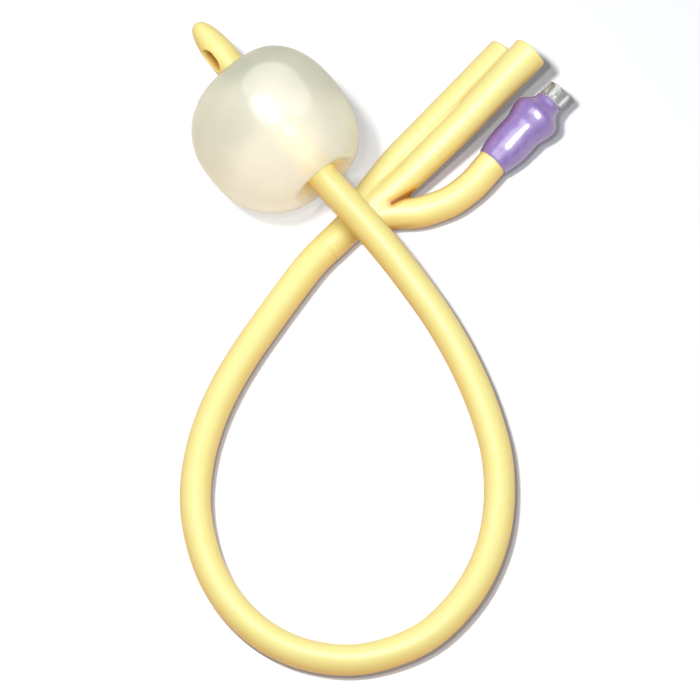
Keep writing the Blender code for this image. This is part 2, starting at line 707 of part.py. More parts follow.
def make_spring(parts, valve_end, steel):
    coil = cup_radius() - FIT_GAP - SPRING_WIRE_RADIUS
    foot = spigot_floor() + FIT_GAP + SPRING_WIRE_RADIUS
    top = disc_top() - PLUNGER_DISC_THICKNESS - FIT_GAP - SPRING_WIRE_RADIUS
    count = SPRING_TURNS * SPRING_POINTS_PER_TURN
    points = []
    for step in range(count + 1):
        angle = 2.0 * math.pi * step / SPRING_POINTS_PER_TURN
        points.append((coil * math.cos(angle), coil * math.sin(angle), foot + (top - foot) * step / count))
    spring = swept_tube("valve_spring", points, parts, FINE_BEVEL_RESOLUTION, SPRING_WIRE_RADIUS)
    spring.parent = valve_end
    finish(spring, steel)


def eased(start, end, ease):
    """Points from one (radius, height) pair up to the next, leaving out the last."""
    points = []
    for step in range(SLEEVE_STEPS):
        share = step / SLEEVE_STEPS
        blend = ease(share)
        points.append((start[0] + (end[0] - start[0]) * blend, start[1] + (end[1] - start[1]) * share))
    return points


def quick_rise(share):
    return math.sin(share * math.pi / 2.0)


def soft_step(share):
    return share * share * (3.0 - 2.0 * share)


def sleeve_outline():
    """Outer surface from the edge on the arm, over the flanges, to the thin lip on the valve's neck."""
    neck = SOCKET_NECK_RADIUS + FIT_GAP
    arm = SOCKET_RADIUS + FIT_GAP + SLEEVE_WALL
    flange = FLANGE_RADIUS + FIT_GAP + SLEEVE_FLANGE_WALL
    lip = HOUSING_NECK_RADIUS + FIT_GAP + SLEEVE_LIP_WALL
    edge_point = (neck + SLEEVE_EDGE_WALL, 0.0)
    arm_start = (arm, SOCKET_FLARE[1] + SLEEVE_SWELL)
    arm_end = (arm, SOCKET_END - SLEEVE_FLANGE_LEAD)
    flange_start = (flange, housing_foot())
    flange_end = (flange, housing_foot() + HOUSING_FLANGE / 2.0)
    lip_start = (lip, SLEEVE_END - SLEEVE_LIP)
    outline = eased(edge_point, arm_start, quick_rise) + [arm_start] + eased(arm_end, flange_start, soft_step)
    return outline + [flange_start] + eased(flange_end, lip_start, soft_step) + [lip_start, (lip, SLEEVE_END)]


def make_sleeve(parts, valve_end, purple):
    """The glossy size-colour sleeve over the arm's end and the valve's flanges."""
    neck_inner = SOCKET_NECK_RADIUS + FIT_GAP
    arm_inner = SOCKET_RADIUS + FIT_GAP
    flange_inner = FLANGE_RADIUS + FIT_GAP
    lip_inner = HOUSING_NECK_RADIUS + FIT_GAP
    flange_top = housing_foot() + HOUSING_FLANGE + FIT_GAP
    inner = [
        (neck_inner, 0.0), (neck_inner, SOCKET_FLARE[0] - FIT_GAP), (arm_inner, SOCKET_FLARE[1] - FIT_GAP),
        (arm_inner, SOCKET_END), (flange_inner, SOCKET_END), (flange_inner, flange_top),
        (lip_inner + HOUSING_FILLET, flange_top + SLEEVE_SHOULDER),
        (lip_inner, flange_top + SLEEVE_SHOULDER + HOUSING_FILLET), (lip_inner, SLEEVE_END),
    ]
    profile = list(reversed(sleeve_outline())) + inner
    finish(turned("size_colour_sleeve", profile, parts, valve_end), purple)


def set_down_on_origin(parts, cutters):
    """Hang everything on one frame whose origin is the named point on the table."""
    rest = new_empty("balloon_catheter", -REST_ORIGIN, (0.0, 0.0, 0.0), parts)
    for obj in list(parts.objects) + list(cutters.objects):
        if obj.parent is None and obj is not rest:
            obj.parent = rest


def main():
    clear_scene()
    parts = new_collection("balloon_catheter")
    cutters = new_collection("cutters", helper=True)
    rubber = plastic("siliconised latex", (0.93, 0.81, 0.36), 0.35)
    film = plastic("balloon latex film", (0.84, 0.80, 0.68), 0.3, alpha=0.8)
    purple = plastic("purple dipped sleeve", (0.36, 0.25, 0.62), 0.15)
    clear = plastic("clear polycarbonate", (0.75, 0.78, 0.77), 0.08, alpha=0.5)
    white = plastic("white acetal", (0.85, 0.86, 0.84), 0.35)
    seal_rubber = plastic("dark seal rubber", (0.09, 0.09, 0.1), 0.6)
    steel = plastic("spring steel", (0.62, 0.62, 0.63), 0.3, metallic=1.0)

    turn_to_tip = (0.0, math.pi / 2.0 - TIP_PITCH, TIP_HEADING)
    balloon_end = new_empty("balloon_end", BALLOON_MIDDLE, turn_to_tip, parts)
    valve_end = new_empty("valve_end", VALVE_BASE, (VALVE_PITCH - math.pi / 2.0, 0.0, 0.0), parts)

    make_shaft(parts, balloon_end, rubber)
    make_tip(parts, cutters, balloon_end, rubber)
    make_balloon(parts, balloon_end, film)
    make_head(parts, cutters, valve_end, rubber)
    make_sleeve(parts, valve_end, purple)
    make_spigot(parts, valve_end, white)
    make_housing(parts, valve_end, clear)
    make_spring(parts, valve_end, steel)
    make_plunger(parts, valve_end, white)
    make_seal(parts, valve_end, seal_rubber)
    set_down_on_origin(parts, cutters)


main()
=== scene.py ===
import math

import bpy
from mathutils import Matrix, Vector, noise


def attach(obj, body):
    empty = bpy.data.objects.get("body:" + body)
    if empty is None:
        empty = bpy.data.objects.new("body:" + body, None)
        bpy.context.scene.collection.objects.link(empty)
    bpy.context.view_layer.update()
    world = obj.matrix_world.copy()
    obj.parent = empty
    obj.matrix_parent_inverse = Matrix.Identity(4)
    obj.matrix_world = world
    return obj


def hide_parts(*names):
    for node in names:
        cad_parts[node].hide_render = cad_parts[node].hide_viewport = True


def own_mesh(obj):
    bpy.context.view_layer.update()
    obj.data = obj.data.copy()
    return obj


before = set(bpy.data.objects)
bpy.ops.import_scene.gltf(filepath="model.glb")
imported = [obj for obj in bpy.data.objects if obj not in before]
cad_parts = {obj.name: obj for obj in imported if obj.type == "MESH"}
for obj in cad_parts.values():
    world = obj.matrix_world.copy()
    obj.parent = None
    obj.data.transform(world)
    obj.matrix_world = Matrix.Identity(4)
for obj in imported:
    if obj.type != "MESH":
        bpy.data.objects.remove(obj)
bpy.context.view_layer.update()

print("frame loaded:", ", ".join(sorted(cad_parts)))

mm = 0.001


# sRGB hex to the linear values that the shaders want
def toLinear(hexColour):
    channels = [int(hexColour[i:i + 2], 16) / 255.0 for i in (1, 3, 5)]
    linear = [c / 12.92 if c <= 0.04045 else ((c + 0.055) / 1.055) ** 2.4 for c in channels]
    return linear + [1.0]


def deselectAll():
    if bpy.context.mode != "OBJECT":
        bpy.ops.object.mode_set(mode="OBJECT")
    bpy.ops.object.select_all(action="DESELECT")


def pick(obj):
    deselectAll()
    obj.select_set(True)
    bpy.context.view_layer.objects.active = obj


def applyAll(obj):
    pick(obj)
    for modifier in list(obj.modifiers):
        bpy.ops.object.modifier_apply(modifier=modifier.name)


# put the place into the mesh, so the object itself sits at the origin
def settle(obj, name):
    pick(obj)
    bpy.ops.object.transform_apply(location=True, rotation=True, scale=True)
    obj.name = name
    obj.data.name = name


def smoothShade(obj, angle=40.0):
    pick(obj)
    bpy.ops.object.shade_smooth_by_angle(angle=math.radians(angle))


# even points on one smooth curve through the stations, an extra value such as a radius goes along
def smoothLine(stations, spacing, fineness=30):
    rows = [list(s) for s in stations]
    rows = [[2 * a - b for a, b in zip(rows[0], rows[1])]] + rows
    rows = rows + [[2 * a - b for a, b in zip(rows[-1], rows[-2])]]
    fine = []
    for p0, p1, p2, p3 in zip(rows, rows[1:], rows[2:], rows[3:]):
        for step in range(fineness):
            t = step / fineness
            fine.append([
                0.5 * (2 * b + (c - a) * t + (2 * a - 5 * b + 4 * c - d) * t * t
                       + (3 * b - a - 3 * c + d) * t ** 3)
                for a, b, c, d in zip(p0, p1, p2, p3)
            ])
    fine.append(rows[-2])
    lengths = [0.0]
    for before, after in zip(fine, fine[1:]):
        lengths.append(lengths[-1] + math.dist(before[:3], after[:3]))
    count = max(2, round(lengths[-1] / spacing))
    points, index = [], 0
    for step in range(count + 1):
        target = lengths[-1] * step / count
        while index < len(lengths) - 2 and lengths[index + 1] < target:
            index += 1
        share = (target - lengths[index]) / (lengths[index + 1] - lengths[index])
        points.append([a + (b - a) * share for a, b in zip(fine[index], fine[index + 1])])
    return points


# a closed tube, a point's fourth value is its radius unless one is given
def tubeAlong(name, points, radius=None, roundness=8):
    deselectAll()
    bpy.ops.curve.primitive_bezier_curve_add()
    tube = bpy.context.object
    curve = tube.data
    curve.splines.clear()
    spline = curve.splines.new("POLY")
    spline.points.add(len(points) - 1)
    for point, row in zip(spline.points, points):
        point.co = (row[0], row[1], row[2], 1.0)
        point.radius = 1.0 if radius else row[3] / mm
    curve.dimensions = "3D"
    curve.bevel_depth = radius if radius else mm
    curve.bevel_resolution = roundness
    curve.use_fill_caps = True
    tube.name = name
    curve.name = name
    return tube


def tubeToMesh(tube):
    pick(tube)
    bpy.ops.object.convert(target="MESH")
    bpy.ops.object.mode_set(mode="EDIT")
    bpy.ops.mesh.select_all(action="SELECT")
    bpy.ops.mesh.remove_doubles(threshold=0.001 * mm)
    bpy.ops.mesh.normals_make_consistent(inside=False)
    bpy.ops.object.mode_set(mode="OBJECT")
    return bpy.context.object


# painted shade on faces that turn down, strongest on the undersides
undersideShade = {"from": 0.9, "over": 1.3, "most": 0.75}    # by a face's upward lean, 1 is level


# 0 to 1 at each point, how much painted shade: in a fold, inside a bore, or on a face turned down
def markPaintedShade(piece, depth=lambda place: 0.0):
    layer = piece.data.attributes.new("paintedShade", "FLOAT", "POINT")
    values = []
    for vertex in piece.data.vertices:
        under = min(undersideShade["most"], (undersideShade["from"] - vertex.normal.z) / undersideShade["over"])
        values.append(max(0.0, min(1.0, max(under, depth(vertex.co)))))
    layer.data.foreach_set("value", values)


# camera at the photograph's angle, and the floor

view = {
    "aim": (0.03907, -0.04369, 0.0),     # what the photograph's middle looks at
    "right": (0.7409, 0.6716, 0.0),      # the photograph's left to right, on the floor
    "elevation": 65.0,
    "width": 0.16415,                    # real width of the picture at the aim
    "lens": 1400.0,                      # nearly parallel sight lines, as the photograph has
    "sensor": 36.0,
    "clip": (0.05, 50.0),
}


def makeCamera():
    right = Vector(view["right"]).normalized()
    away = Vector((-right.y, right.x, 0.0))
    tilt = math.radians(view["elevation"])
    toCamera = Vector((0, 0, math.sin(tilt))) - away * math.cos(tilt)
    distance = view["width"] * view["lens"] / view["sensor"]
    bpy.ops.object.camera_add(location=Vector(view["aim"]) + toCamera * distance)
    camera = bpy.context.object
    camera.rotation_euler = toCamera.to_track_quat("Z", "Y").to_euler()
    camera.data.lens = view["lens"]
    camera.data.sensor_width = view["sensor"]
    camera.data.clip_start, camera.data.clip_end = view["clip"]
    bpy.context.scene.camera = camera
    return right, away, toCamera


right, away, toCamera = makeCamera()
print("camera placed")


# shaft: one long extruded tube, round the loop and over the head

shaft = {
    "diameter": 22 / 3 * mm,             # 22 French
    "neckFace": (0.01847, -0.02969, 0.00367),
    "intoHead": 0.002,
    "leadOut": 0.0045,                   # straight out of the neck for this far
    "tipFoot": (0.00636, -0.01981, 0.01639),
    "leadIn": (0.01079, -0.02055, 0.01603),
    "route": [
        (0.01937, -0.04179, 0.00367), (0.02087, -0.05169, 0.00367), (0.02257, -0.06159, 0.00367),
        (0.02497, -0.07139, 0.00367), (0.02847, -0.08099, 0.00367), (0.03337, -0.09009, 0.00367),
        (0.03967, -0.09819, 0.00367), (0.04757, -0.10489, 0.00367), (0.05647, -0.10989, 0.00367),
        (0.06617, -0.11259, 0.00367), (0.07587, -0.11269, 0.00367), (0.08507, -0.10999, 0.00367),
        (0.09367, -0.10419, 0.00367), (0.09947, -0.09629, 0.00367), (0.10287, -0.08749, 0.00367),
        (0.10337, -0.07769, 0.00367), (0.10167, -0.06789, 0.00367), (0.09777, -0.05849, 0.00367),
        (0.09197, -0.05009, 0.00367), (0.08457, -0.04259, 0.00367), (0.07707, -0.03729, 0.0038),
        (0.06877, -0.03269, 0.0042), (0.05977, -0.02879, 0.005), (0.05057, -0.02579, 0.0062),
        (0.04127, -0.02369, 0.0078), (0.03227, -0.02219, 0.0099), (0.02187, -0.02109, 0.0127),
    ],
    "spacing": 0.0015,
    "roundness": 12,
}


def makeShaft():
    start = Vector(shaft["neckFace"])
    first = start + Vector((0.0, shaft["intoHead"], 0.0))
    leadOut = start - Vector((0.0, shaft["leadOut"], 0.0))
    stations = [first, leadOut] + [Vector(p) for p in shaft["route"]]
    stations += [Vector(shaft["leadIn"]), Vector(shaft["tipFoot"])]
    line = smoothLine(stations, shaft["spacing"])
    piece = tubeToMesh(tubeAlong("shaftTube", line, shaft["diameter"] / 2, shaft["roundness"]))
    markPaintedShade(piece)
    smoothShade(piece)
    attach(piece, "catheter")
    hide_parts("shaft_tube")
    return piece


shaftPiece = makeShaft()


# extrude what is selected by move and scale it about the ring's new centre
def stepRing(move, grow, centre):
    bpy.ops.mesh.extrude_region_move(TRANSFORM_OT_translate={"value": tuple(move)})
    bpy.ops.transform.resize(value=(grow, grow, grow), center_override=tuple(centre))


# rings of (radius, height) in millimetres along Z, a radius of 0 closes an end
def turnedPiece(name, profile, sides=72):
    deselectAll()
    smallest = 0.0005                    # an end this small is welded to one point below
    rows = [(max(radius, smallest) * mm, height * mm) for radius, height in profile]
    bpy.ops.mesh.primitive_circle_add(vertices=sides, radius=rows[0][0],
                                      location=(0, 0, rows[0][1]))
    piece = bpy.context.object
    bpy.ops.object.transform_apply(location=True)
    bpy.ops.object.mode_set(mode="EDIT")
    bpy.ops.mesh.select_mode(type="VERT")
    bpy.ops.mesh.select_all(action="SELECT")
    for (radius, height), (nextRadius, nextHeight) in zip(rows, rows[1:]):
        rise = (0, 0, nextHeight - height)
        bpy.ops.mesh.extrude_region_move(TRANSFORM_OT_translate={"value": rise})
        grow = nextRadius / radius
        bpy.ops.transform.resize(value=(grow, grow, 1), center_override=(0, 0, 0))
    bpy.ops.mesh.select_all(action="SELECT")
    bpy.ops.mesh.remove_doubles(threshold=0.002 * mm)
    bpy.ops.mesh.normals_make_consistent(inside=False)
    bpy.ops.object.mode_set(mode="OBJECT")
    piece.name = name
    return piece


def selectFaces(piece, test):
    pick(piece)
    bpy.ops.object.mode_set(mode="EDIT")
    bpy.ops.mesh.select_mode(type="FACE")
    bpy.ops.mesh.select_all(action="DESELECT")
    bpy.ops.object.mode_set(mode="OBJECT")
    for face in piece.data.polygons:
        face.select = test(face)
    bpy.ops.object.mode_set(mode="EDIT")


cut = {                                  # millimetres
    "reach": 8.0,                        # along the arm, each way
    "margin": 0.45,                      # past the arm's side
    "capWithin": 2.0,                    # from the cut's middle to the new cap's
    "capCorners": 20,                    # the cap has more than this, and no other face has
    "evenOut": 0.13,                     # corners nearer than this are welded
    "rollSteps": 4,
}


# cut an arm's end off flat and leave its cap selected, radius keeps the cut off its neighbours
def cutSquare(piece, centre, direction, radius):
    def onArm(face):
        offset = face.center - centre
        along = offset.dot(direction)
        return abs(along) < cut["reach"] * mm and (offset - direction * along).length < radius

    def isCap(face):
        near = (face.center - centre).length < cut["capWithin"] * mm
        return near and len(face.vertices) > cut["capCorners"]

    selectFaces(piece, onArm)
    bpy.ops.mesh.bisect(plane_co=centre, plane_no=direction, use_fill=True, clear_outer=True)
    bpy.ops.object.mode_set(mode="OBJECT")
    selectFaces(piece, isCap)
    bpy.ops.mesh.remove_doubles(threshold=cut["evenOut"] * mm)


# roll the cut end's rim over and sink the bore along the arm, path gives centres and radii
def openMouth(piece, centre, direction, rim, outer, path):
    bore = path[0][3]
    base = centre - direction * rim
    cutSquare(piece, base, direction, outer + cut["margin"] * mm)
    steps = cut["rollSteps"]
    turns = [math.pi / 2 * step / steps for step in range(1, steps + 1)]
    rings = [(outer - rim * (1 - math.cos(a)), rim * math.sin(a)) for a in turns]
    rings.append((bore + rim, rim))
    rings += [(bore + rim * (1 - math.sin(a)), rim * math.cos(a)) for a in turns]
    radius, along = outer, 0.0
    for nextRadius, nextAlong in rings:
        stepRing(direction * (nextAlong - along), nextRadius / radius, base + direction * nextAlong)
        radius, along = nextRadius, nextAlong
    here = base
    for row in path:
        there = Vector(row[:3])
        stepRing(there - here, row[3] / radius, there)
        here, radius = there, row[3]
    bpy.ops.object.mode_set(mode="OBJECT")


# one moulding, three arms that blend where they leave the neck

head = {                                 # millimetres: x, y, z, radius along each arm
    "drainage": [
        (18.67, -21.89, 3.67, 3.67), (19.17, -15.79, 3.95, 3.65), (20.27, -8.89, 5.1, 3.5),
        (21.07, -3.09, 6.2, 3.4), (21.67, 7.41, 7.9, 3.6), (21.97, 14.51, 8.8, 3.7),
        (21.97, 26.51, 9.8, 3.9), (21.92, 38.51, 10.5, 4.25),
    ],
    "irrigation": [
        (18.57, -21.89, 3.67, 3.67), (17.77, -17.59, 3.7, 3.6), (16.87, -13.29, 3.7, 3.56),
        (16.07, -7.39, 3.75, 3.56), (15.47, -1.19, 3.8, 3.6), (15.47, 6.81, 3.85, 3.72),
        (15.47, 21.61, 3.95, 3.85), (15.47, 36.51, 4.05, 4.0),
    ],
    "inflation": [
        (18.77, -21.89, 3.67, 3.67), (20.27, -17.29, 3.7, 3.6), (22.87, -13.59, 3.75, 3.55),
        (25.27, -10.99, 3.75, 3.55), (28.07, -7.99, 3.75, 3.6), (30.27, -4.19, 3.75, 3.62),
        (31.97, -0.09, 3.75, 3.62), (32.77, 5.21, 3.8, 3.62), (32.77, 8.81, 3.95, 3.62),
        (32.57, 12.31, 4.22, 3.62), (32.57, 18.28, 4.83, 3.62),
    ],
    "neck": [(18.47, -33.0, 3.67, 3.67), (18.47, -29.69, 3.67, 3.67)],
    "web": [                             # fills the narrow cleft between the funnels
        (18.1, -5.0, 4.9, 1.6), (18.4, 1.0, 5.4, 1.7), (18.59, 6.0, 5.8, 1.6),
        (18.67, 9.5, 6.06, 1.5), (18.72, 12.0, 6.24, 1.4), (18.75, 16.0, 6.48, 1.25),
        (18.75, 19.0, 6.61, 0.95),
    ],
    "step": 1.0,                         # along an arm
    "roundness": {"arm": 14, "web": 8},
    "skin": 0.09,                        # relaxing draws the skin in by this much
    "overrun": 3.0,                      # past each end, and cut off again
    "voxel": 0.28,
    "relax": 26,
    "wall": 0.95,
    "rim": 0.35,
    "boreStep": 2.0,
    "mouthDepth": 12.0,
    "throatDepth": 34.0,
    "throat": 2.1,
    "endCut": 4.6,                       # radius cleared at the neck's and the valve's ends
    "underSleeve": 1.6,                  # how far the inflation arm goes into the sleeve
    "crotch": ((23.1, -11.4), (24.9, -4.3)),     # where the inflation arm parts from the funnel
    # painted shade: its strength in the fold where the inflation arm parts, its reach, and its span
    # inside the funnels
    "crotchShade": 1.2,
    "crotchReach": 1.3,
    "insideShade": (0.5, 9.0, 0.6),       # from here to here inwards, and this far off the skin
}

valve = {
    "base": Vector((32.57, 13.31, 4.32)) * mm,
    "pitch": math.radians(5.8),
}
valveAxis = Vector((0.0, math.cos(valve["pitch"]), math.sin(valve["pitch"])))


def inMetres(rows):
    return [tuple(value * mm for value in row) for row in rows]


def endOf(rows):
    last = Vector(rows[-1][:3])
    return last, (last - Vector(rows[-2][:3])).normalized()


# centres and radii from the mouth inwards
def borePath(rows):
    path, inward = [], 0.0
    mouth = rows[-1][3] - head["wall"] * mm
    line = smoothLine(list(reversed(rows)), head["boreStep"] * mm)
    for before, row in zip([line[0]] + line, line):
        inward += math.dist(before[:3], row[:3])
        if inward > head["throatDepth"] * mm:
            break
        share = (inward / mm - head["mouthDepth"]) / (head["throatDepth"] - head["mouthDepth"])
        radius = mouth + (head["throat"] * mm - mouth) * min(1.0, max(0.0, share))
        path.append((row[0], row[1], row[2], radius))
    return [path[0]] + path[2:]          # the rolled rim takes up the first step


# painted shade: a dark line along the fold between the arms, and darker funnel insides near their
# mouths
def headPaintedShade(place):
    first, last = (Vector(end) * mm for end in head["crotch"])
    along = (place.xy - first).dot(last - first) / (last - first).length_squared
    nearest = first + (last - first) * max(0.0, min(1.0, along))
    start, stop, offSkin = (value * mm for value in head["insideShade"])
    for arm in ("drainage", "irrigation"):
        end, direction = endOf(inMetres(head[arm]))
        inward = (end - place).dot(direction)
        aside = (place - end + direction * inward).length
        if start < inward < stop and aside < head[arm][-1][3] * mm - offSkin:
            return 1.0
    return head["crotchShade"] - (place.xy - nearest).length / (head["crotchReach"] * mm)


def makeHead():
    deselectAll()
    tubes = []
    skin = head["skin"] * mm
    for arm in ("drainage", "irrigation", "inflation"):
        rows = inMetres(head["neck"] + head[arm])
        end, direction = endOf(rows)
        rows.append((*(end + direction * head["overrun"] * mm), rows[-1][3]))
        rows = [(x, y, z, r + skin) for x, y, z, r in rows]
        line = smoothLine(rows, head["step"] * mm)
        tubes.append(tubeToMesh(tubeAlong(arm + "Arm", line, roundness=head["roundness"]["arm"])))
    line = smoothLine(inMetres(head["web"]), head["step"] * mm)
    tubes.append(tubeToMesh(tubeAlong("web", line, roundness=head["roundness"]["web"])))
    deselectAll()
    for tube in tubes:
        tube.select_set(True)
    bpy.context.view_layer.objects.active = tubes[0]
    bpy.ops.object.join()
    piece = bpy.context.object
    bpy.ops.object.modifier_add(type="REMESH")
    piece.modifiers[-1].mode = "VOXEL"
    piece.modifiers[-1].voxel_size = head["voxel"] * mm
    bpy.ops.object.modifier_add(type="SMOOTH")
    piece.modifiers[-1].iterations = head["relax"]
    applyAll(piece)
    for arm in ("drainage", "irrigation"):
        rows = inMetres(head[arm])
        end, direction = endOf(rows)
        openMouth(piece, end, direction, head["rim"] * mm, rows[-1][3], borePath(rows))
    armEnd = valve["base"] + valveAxis * head["underSleeve"] * mm
    cutSquare(piece, armEnd, valveAxis, head["endCut"] * mm)
    cutSquare(piece, Vector(shaft["neckFace"]), Vector((0, -1, 0)), head["endCut"] * mm)
    bpy.ops.object.mode_set(mode="OBJECT")
    settle(piece, "funnelHead")
    markPaintedShade(piece, headPaintedShade)
    smoothShade(piece, 50)
    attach(piece, "catheter")
    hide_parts("funnel_head")
    print("funnel head made,", len(piece.data.polygons), "faces")
    return piece


headPiece = makeHead()


# the balloon's middle on the shaft's line, local Z towards the tip's nose
balloonEnd = Matrix.Translation(Vector((-6.33, -17.69, 17.4)) * mm)
balloonEnd = balloonEnd @ Matrix.Rotation(math.radians(170.5), 4, "Z")
balloonEnd = balloonEnd @ Matrix.Rotation(math.radians(85.5), 4, "Y")

tip = {                                  # millimetres along and out from the balloon end's axis
    "radius": 22 / 6,
    "foot": -12.6,
    "nose": 32.6,
    "noseLength": 11.0,
    "noseSteps": 14,
    "bluntness": 0.82,
    "bore": 1.5,
    "boreEnd": 0.8,                      # the bore narrows to this, over this length
    "wallAtNose": 3.4,
    "eyes": [(112.0, 10.0), (292.0, 12.6)],      # degrees round the tip, distance from the nose
    "eyeSize": (3.2, 6.2),
    "eyeCut": (3.0, 5.0),                # middle and depth of the cut
    "outlets": [(-1.5, -1.4, 0.8, 18.6), (1.5, -1.4, 0.5, 3.0)],     # lumen offset, radius, height
    "portRise": 1.2,                     # radii from the port's middle to the lane's end
    "portLength": 4.0,
    "overrun": 1.0,
    "cutSides": {"bore": 32, "eye": 48, "outlet": 20},
    "voxel": 0.15,
    "relax": 12,
    # painted shade inside the bore and the eyes
    "inward": (0.3, 1.8),                # below the skin the latex colours from here, over this
}


def makeTip():
    shoulder = tip["nose"] - tip["noseLength"]
    below, sides = tip["foot"] - tip["overrun"], tip["cutSides"]
    profile = [(0.0, tip["foot"]), (tip["radius"], tip["foot"]), (tip["radius"], shoulder)]
    for step in range(1, tip["noseSteps"] + 1):
        angle = math.pi / 2 * step / tip["noseSteps"]
        share = math.cos(angle) ** tip["bluntness"] if step < tip["noseSteps"] else 0.0
        profile.append((tip["radius"] * share, shoulder + tip["noseLength"] * math.sin(angle)))
    piece = turnedPiece("drainageTip", profile)
    inside = tip["nose"] - tip["wallAtNose"]
    cutters = [turnedPiece("tipBore", [
        (0.0, below), (tip["bore"], below), (tip["bore"], inside - tip["boreEnd"]),
        (tip["boreEnd"], inside), (0.0, inside),
    ], sides["bore"])]
    for turn, fromNose in tip["eyes"]:
        deselectAll()
        middle, depth = tip["eyeCut"]
        bpy.ops.mesh.primitive_cylinder_add(vertices=sides["eye"], radius=mm / 2, depth=depth * mm)
        eye = bpy.context.object
        eye.scale = (tip["eyeSize"][1], tip["eyeSize"][0], 1.0)
        eye.rotation_euler = (0.0, math.radians(90), math.radians(turn))
        out = Vector((math.cos(math.radians(turn)), math.sin(math.radians(turn)), 0.0))
        eye.location = out * middle * mm + Vector((0, 0, (tip["nose"] - fromNose) * mm))
        cutters.append(eye)
    for across, up, size, height in tip["outlets"]:
        lane = turnedPiece("tipLane", [(0.0, below), (size, below), (size, height), (0.0, height)],
                           sides["outlet"])
        lane.location = (across * mm, up * mm, 0.0)
        out = Vector((across, up, 0.0)).normalized()
        end = tip["portLength"]
        port = turnedPiece("tipPort", [(0.0, 0.0), (size, 0.0), (size, end), (0.0, end)],
                           sides["outlet"])
        port.rotation_euler = out.to_track_quat("Z", "Y").to_euler()
        port.location = (across * mm, up * mm, (height - tip["portRise"] * size) * mm)
        cutters += [lane, port]
    for cutter in cutters:
        pick(piece)
        bpy.ops.object.modifier_add(type="BOOLEAN")
        piece.modifiers[-1].operation = "DIFFERENCE"
        piece.modifiers[-1].object = cutter
    bpy.ops.object.modifier_add(type="REMESH")
    piece.modifiers[-1].mode = "VOXEL"
    piece.modifiers[-1].voxel_size = tip["voxel"] * mm
    bpy.ops.object.modifier_add(type="SMOOTH")
    piece.modifiers[-1].iterations = tip["relax"]
    applyAll(piece)
    for cutter in cutters:
        bpy.data.objects.remove(cutter)

    piece.matrix_world = balloonEnd
    settle(piece, "drainageTip")
    toLocal = balloonEnd.inverted()

    # painted shade on the surfaces below the outer skin, inside the bore and the eyes
    def shadeBelowSkin(place):
        here = toLocal @ place
        nose = min(1.0, max(0.0, here.z - shoulder * mm) / (tip["noseLength"] * mm))
        outer = tip["radius"] * mm * math.sqrt(1 - nose * nose) ** tip["bluntness"]
        start, over = tip["inward"]
        return min(undersideShade["most"], (outer - here.xy.length - start * mm) / (over * mm))

    markPaintedShade(piece, shadeBelowSkin)
    smoothShade(piece, 60)
    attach(piece, "catheter")
    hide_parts("drainage_tip")
    print("tip made,", len(piece.data.polygons), "faces")
    return piece


tipPiece = makeTip()

balloon = {                              # millimetres
    "radius": 18.6,
    "halfLength": 18.7,
    "squareness": 2.4,
    "dimpleDepth": 4.3,
    "dimpleWidth": 3.5,
    "cuff": 3.2,
    "shaftGap": 0.05,
    "wall": 0.35,
    "offCentre": Vector((-0.5, 2.3, 0.0)) * mm,
    "rings": 30,
    "sides": 96,
    "flatBelow": 0.35,                   # where the film rests on the table
    "flatHeight": (0.02, 0.5),           # its least height, and the share of its own that it keeps
}


def makeBalloon():
    size = balloon["radius"]
    inner = tip["radius"] + balloon["shaftGap"]
    power = balloon["squareness"]

    def side(radius):
        plain = balloon["halfLength"] * (1 - min(1.0, radius / size) ** power) ** (1 / power)
        dimple = math.exp(-((radius - inner) / balloon["dimpleWidth"]) ** 2)
        return plain - balloon["dimpleDepth"] * dimple

    start = math.asin((inner / size) ** (power / 2))
    half = [(inner, side(inner) - balloon["cuff"])]
    for ring in range(balloon["rings"]):
        angle = start + (math.pi / 2 - start) * ring / balloon["rings"]
        radius = size * math.sin(angle) ** (2 / power)
        half.append((radius, side(radius)))
    profile = half + [(size, 0.0)] + [(radius, -height) for radius, height in reversed(half)]
    piece = turnedPiece("retentionBalloon", profile, balloon["sides"])
    toLocal = balloonEnd.inverted()
    least, kept = balloon["flatHeight"]
    for vertex in piece.data.vertices:
        bulge = (vertex.co.xy.length / mm - inner) / (size - inner)
        place = balloonEnd @ (vertex.co + balloon["offCentre"] * max(0.0, min(1.0, bulge)))
        if place.z < balloon["flatBelow"] * mm:
            place.z = least * mm + max(0.0, place.z) * kept
        vertex.co = toLocal @ place
    pick(piece)
    bpy.ops.object.modifier_add(type="SOLIDIFY")
    piece.modifiers[-1].thickness = balloon["wall"] * mm
    piece.modifiers[-1].offset = -1.0
    applyAll(piece)
    piece.matrix_world = balloonEnd
    settle(piece, "retentionBalloon")
    smoothShade(piece, 60)
    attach(piece, "catheter")
    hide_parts("retention_balloon")
    print("balloon made,", len(piece.data.polygons), "faces")
    return piece


balloonPiece = makeBalloon()


# the valve's pieces: millimetres along the valve's axis, and out from it
# a corner's rows are how far in from the side, and how far along from the end

